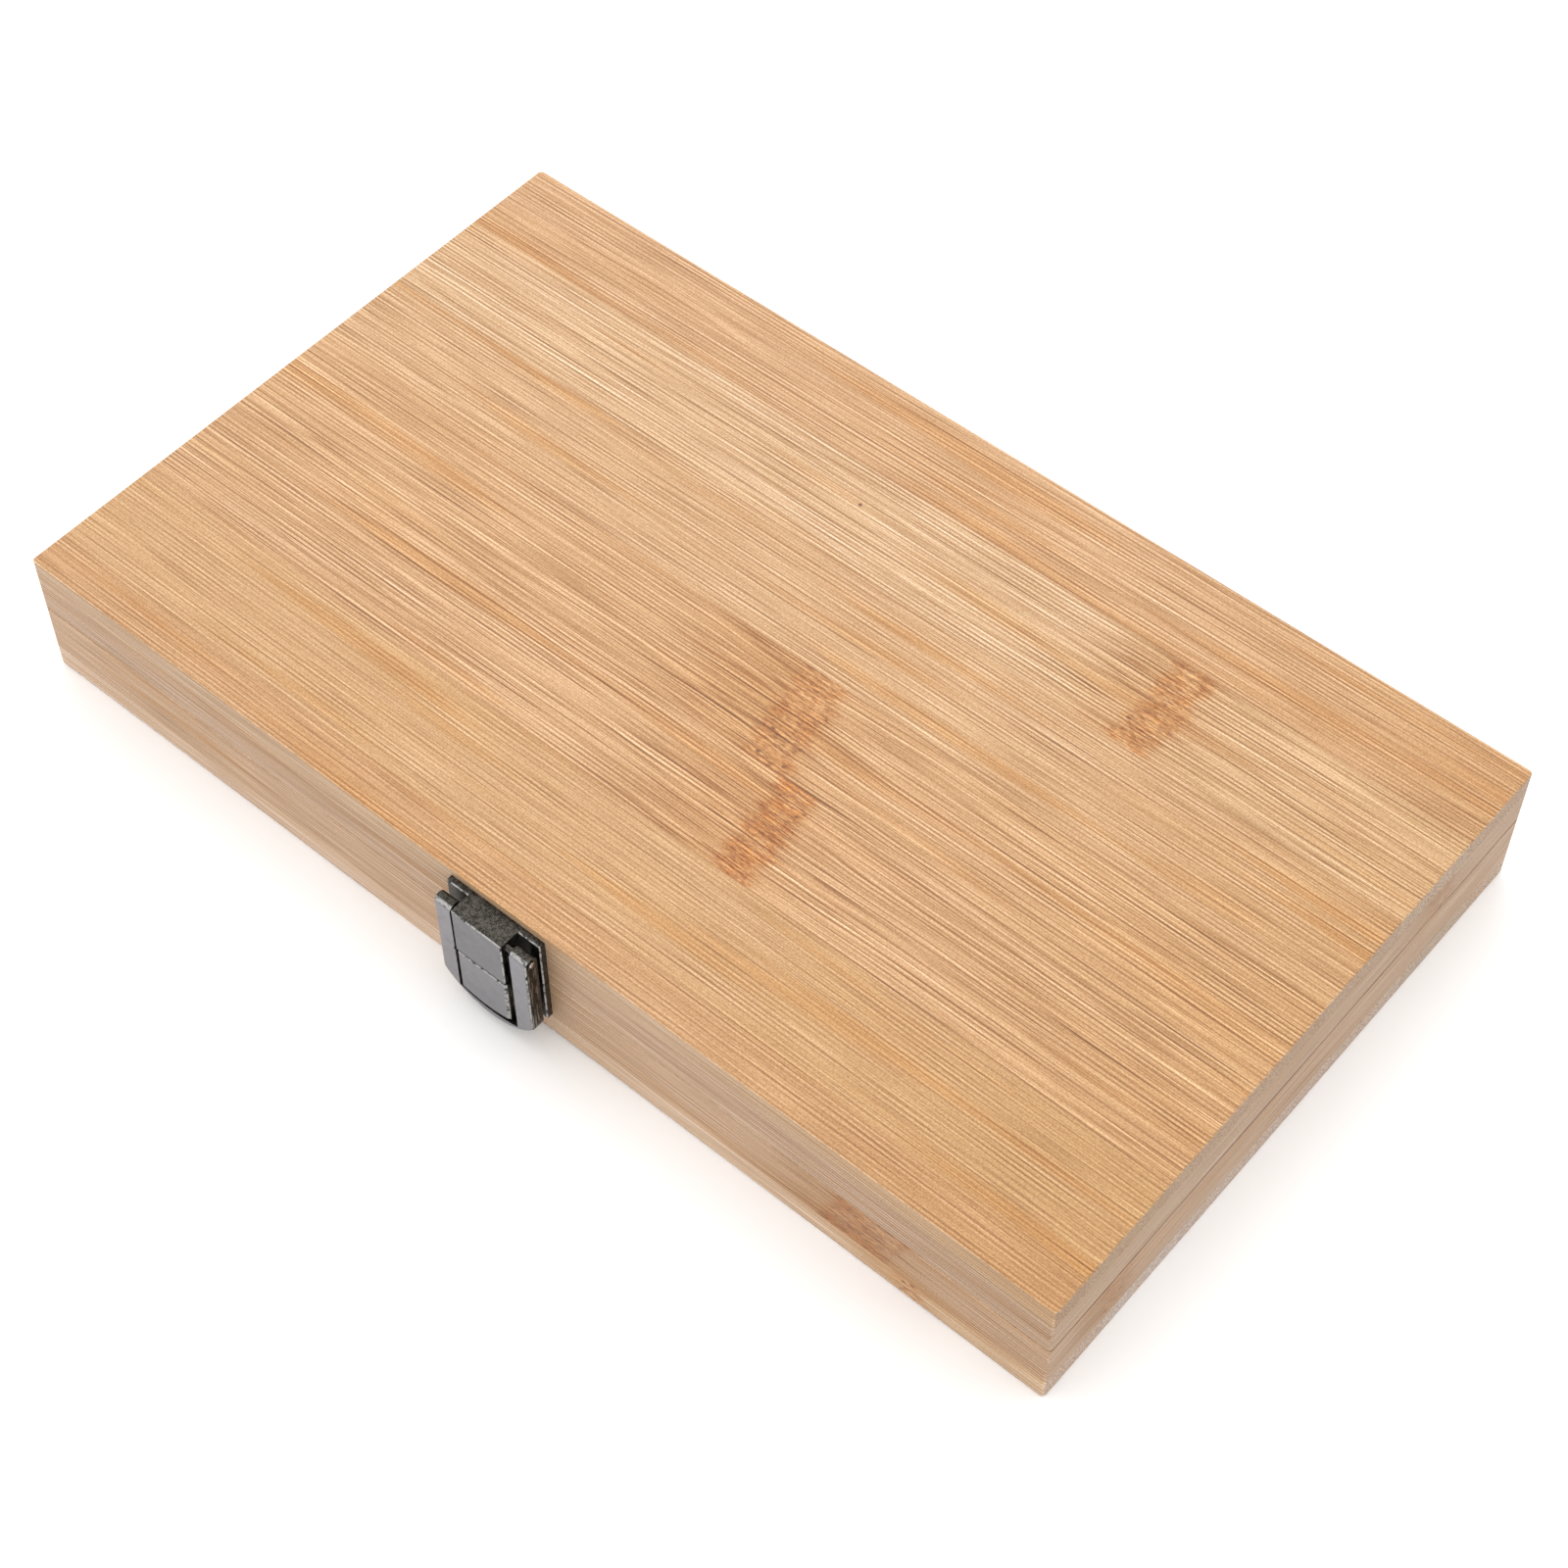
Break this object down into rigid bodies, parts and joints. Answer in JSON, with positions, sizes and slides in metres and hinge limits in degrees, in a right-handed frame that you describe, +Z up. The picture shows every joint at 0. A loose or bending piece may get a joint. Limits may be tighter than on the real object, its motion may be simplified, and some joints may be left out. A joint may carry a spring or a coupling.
{
  "type": "watercolor palette box",
  "caption": "Flat bamboo paint box with a hinged lid, a front lever clasp, rows of watercolour half pans and a lift-out mixing palette.",
  "frame": {"origin": "centre of the flat underside that the closed box rests on", "axes": "+X to the right along the long side seen from the front, +Y from the clasp side to the hinge side, +Z up"},
  "size_m": [0.22, 0.1359, 0.0277],
  "materials": {
    "case_bamboo": "sanded satin bamboo strips",
    "rack_bamboo": "plain sanded bamboo",
    "antique_bronze_metal": "antique gunmetal plating, satin with worn edges",
    "antique_screw_steel": "antique plated",
    "bright_pin_steel": "bright",
    "pan_plastic": "semi-gloss",
    "palette_plastic": "gloss",
    "yellow_paint": "dried cakes of watercolour, matt",
    "red_paint": "dried cakes of watercolour, matt",
    "blue_paint": "dried cakes of watercolour, matt",
    "green_paint": "dried cakes of watercolour, matt",
    "earth_paint": "dried cakes of watercolour, matt",
    "dark_paint": "dried cakes of watercolour, matt"
  },
  "bodies": {
    "base": {"bottom_panel": "case_bamboo", "base_front_wall": "case_bamboo", "base_back_wall": "case_bamboo", "base_left_wall": "case_bamboo", "base_right_wall": "case_bamboo", "left_hinge_base_leaf": "antique_bronze_metal", "left_hinge_pin": "bright_pin_steel", "right_hinge_base_leaf": "antique_bronze_metal", "right_hinge_pin": "bright_pin_steel", "base_hinge_screws": "antique_screw_steel", "clasp_catch_plate": "antique_bronze_metal", "clasp_catch_screws": "antique_screw_steel", "pan_rack_left_rail": "rack_bamboo", "pan_rack_right_rail": "rack_bamboo", "pan_rack_middle_slat": "rack_bamboo", "pan_rack_front_slat": "rack_bamboo", "rear_half_pans": "pan_plastic", "yellow_paints": "yellow_paint", "red_paints": "red_paint", "blue_paints": "blue_paint", "front_half_pans": "pan_plastic", "green_paints": "green_paint", "earth_paints": "earth_paint", "dark_paints": "dark_paint"},
    "lid": {"top_panel": "case_bamboo", "lid_front_wall": "case_bamboo", "lid_back_wall": "case_bamboo", "lid_left_wall": "case_bamboo", "lid_right_wall": "case_bamboo", "left_hinge_lid_leaf": "antique_bronze_metal", "right_hinge_lid_leaf": "antique_bronze_metal", "lid_hinge_screws": "antique_screw_steel", "clasp_lid_plate": "antique_bronze_metal", "clasp_lid_screws": "antique_screw_steel", "clasp_pin": "bright_pin_steel"},
    "lever": {"clasp_lever": "antique_bronze_metal"},
    "palette": {"mixing_palette": "palette_plastic"}
  },
  "joints": [
    {"name": "lid_hinge", "type": "hinge", "parent": "base", "child": "lid", "pos_m": [0, 0.06555, 0.01528], "axis": [-1, 0, 0], "range_deg": [0, 180]},
    {"name": "clasp_lever_swing", "type": "hinge", "parent": "lid", "child": "lever", "pos_m": [0, -0.06765, 0.0251], "axis": [-1, 0, 0], "range_deg": [0, 180]},
    {"name": "palette_lift", "type": "slide", "parent": "base", "child": "palette", "axis": [0, 0, 1], "range_m": [0, 0.008]}
  ]
}
